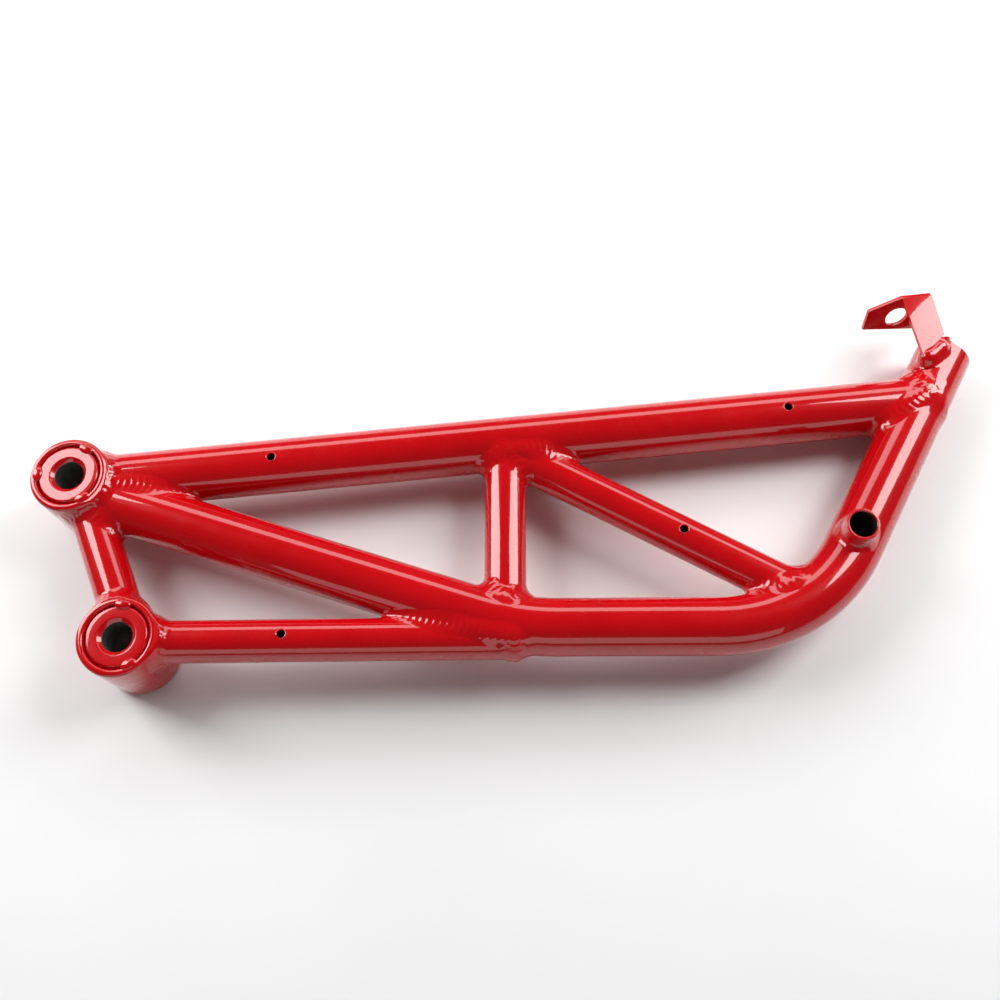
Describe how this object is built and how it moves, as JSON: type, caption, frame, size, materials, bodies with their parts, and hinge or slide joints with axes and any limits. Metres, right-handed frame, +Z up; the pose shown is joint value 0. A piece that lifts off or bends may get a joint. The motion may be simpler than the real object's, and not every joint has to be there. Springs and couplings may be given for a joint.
{
  "type": "welded tubular side frame",
  "caption": "Flat welded trellis of round steel tubes joining bored end bosses to a bent main tube with a threaded bush and a folded tail bracket.",
  "frame": {"origin": "under the middle of the bounding box, on the surface that the frame lies on", "axes": "+X along the frame from the bosses to the tail, +Y across it towards the top tube, +Z up through the boss bores"},
  "size_m": [0.514, 0.2168, 0.047],
  "materials": {
    "diagonal_strut": "gloss red enamel",
    "end_strut": "gloss red enamel",
    "lower_boss_bush": "turned steel, painted over at its faces, bare in the bore",
    "lower_boss_sleeve": "gloss red enamel",
    "lower_tube": "gloss red enamel",
    "main_tube": "gloss red enamel",
    "tack_lower_boss_1": "gloss red enamel over a weld bead",
    "tack_lower_boss_2": "gloss red enamel over a weld bead",
    "tack_upper_boss_1": "gloss red enamel over a weld bead",
    "tack_upper_boss_2": "gloss red enamel over a weld bead",
    "tack_upper_boss_3": "gloss red enamel over a weld bead",
    "tail_bracket": "gloss red enamel",
    "threaded_bush": "gloss red enamel",
    "top_tube": "gloss red enamel",
    "upper_boss_bush": "turned steel, painted over at its faces, bare in the bore",
    "upper_boss_sleeve": "gloss red enamel",
    "vertical_strut": "gloss red enamel",
    "weld_bracket_to_upright": "gloss red enamel over a weld bead",
    "weld_diagonal_strut_to_main_tube": "gloss red enamel over a weld bead",
    "weld_diagonal_strut_to_top_tube": "gloss red enamel over a weld bead",
    "weld_end_strut_to_lower_boss": "gloss red enamel over a weld bead",
    "weld_end_strut_to_upper_boss": "gloss red enamel over a weld bead",
    "weld_lower_tube_to_lower_boss": "gloss red enamel over a weld bead",
    "weld_lower_tube_to_main_tube": "gloss red enamel over a weld bead",
    "weld_main_tube_to_upper_boss": "gloss red enamel over a weld bead",
    "weld_threaded_bush_to_main_tube": "gloss red enamel over a weld bead",
    "weld_top_tube_to_upper_boss": "gloss red enamel over a weld bead",
    "weld_top_tube_to_upright": "gloss red enamel over a weld bead",
    "weld_vertical_strut_to_main_tube": "gloss red enamel over a weld bead",
    "weld_vertical_strut_to_top_tube": "gloss red enamel over a weld bead"
  },
  "bodies": {
    "root": {"diagonal_strut": "diagonal_strut", "end_strut": "end_strut", "lower_boss_bush": "lower_boss_bush", "lower_boss_sleeve": "lower_boss_sleeve", "lower_tube": "lower_tube", "main_tube": "main_tube", "tack_lower_boss_1": "tack_lower_boss_1", "tack_lower_boss_2": "tack_lower_boss_2", "tack_upper_boss_1": "tack_upper_boss_1", "tack_upper_boss_2": "tack_upper_boss_2", "tack_upper_boss_3": "tack_upper_boss_3", "tail_bracket": "tail_bracket", "threaded_bush": "threaded_bush", "top_tube": "top_tube", "upper_boss_bush": "upper_boss_bush", "upper_boss_sleeve": "upper_boss_sleeve", "vertical_strut": "vertical_strut", "weld_bracket_to_upright": "weld_bracket_to_upright", "weld_diagonal_strut_to_main_tube": "weld_diagonal_strut_to_main_tube", "weld_diagonal_strut_to_top_tube": "weld_diagonal_strut_to_top_tube", "weld_end_strut_to_lower_boss": "weld_end_strut_to_lower_boss", "weld_end_strut_to_upper_boss": "weld_end_strut_to_upper_boss", "weld_lower_tube_to_lower_boss": "weld_lower_tube_to_lower_boss", "weld_lower_tube_to_main_tube": "weld_lower_tube_to_main_tube", "weld_main_tube_to_upper_boss": "weld_main_tube_to_upper_boss", "weld_threaded_bush_to_main_tube": "weld_threaded_bush_to_main_tube", "weld_top_tube_to_upper_boss": "weld_top_tube_to_upper_boss", "weld_top_tube_to_upright": "weld_top_tube_to_upright", "weld_vertical_strut_to_main_tube": "weld_vertical_strut_to_main_tube", "weld_vertical_strut_to_top_tube": "weld_vertical_strut_to_top_tube"}
  },
  "joints": []
}
